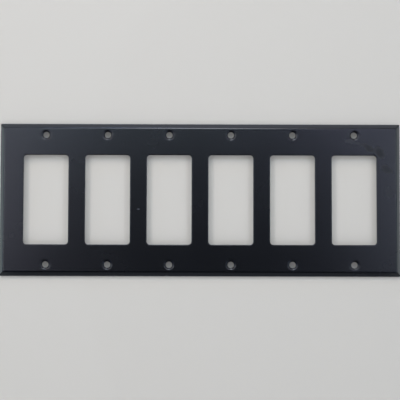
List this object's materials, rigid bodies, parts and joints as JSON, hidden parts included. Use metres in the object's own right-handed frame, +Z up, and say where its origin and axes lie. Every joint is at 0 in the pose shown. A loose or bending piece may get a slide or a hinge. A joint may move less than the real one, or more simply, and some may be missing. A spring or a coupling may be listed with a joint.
{
  "type": "wall plate",
  "caption": "Wide wall plate of pressed steel, satin black, with a row of tall round-cornered openings for rocker switches and a dimpled screw hole above and below each.",
  "frame": {"origin": "middle of the wall plane: the plane of the rim's sheared rear edge, halfway along the plate's width and height", "axes": "+X along the plate's long side, +Z up, +Y into the wall; the front face looks towards -Y"},
  "size_m": [0.3, 0.0056, 0.1144],
  "materials": {
    "black_painted_steel": "satin"
  },
  "bodies": {
    "root": {"wall_plate": "black_painted_steel"}
  },
  "joints": []
}
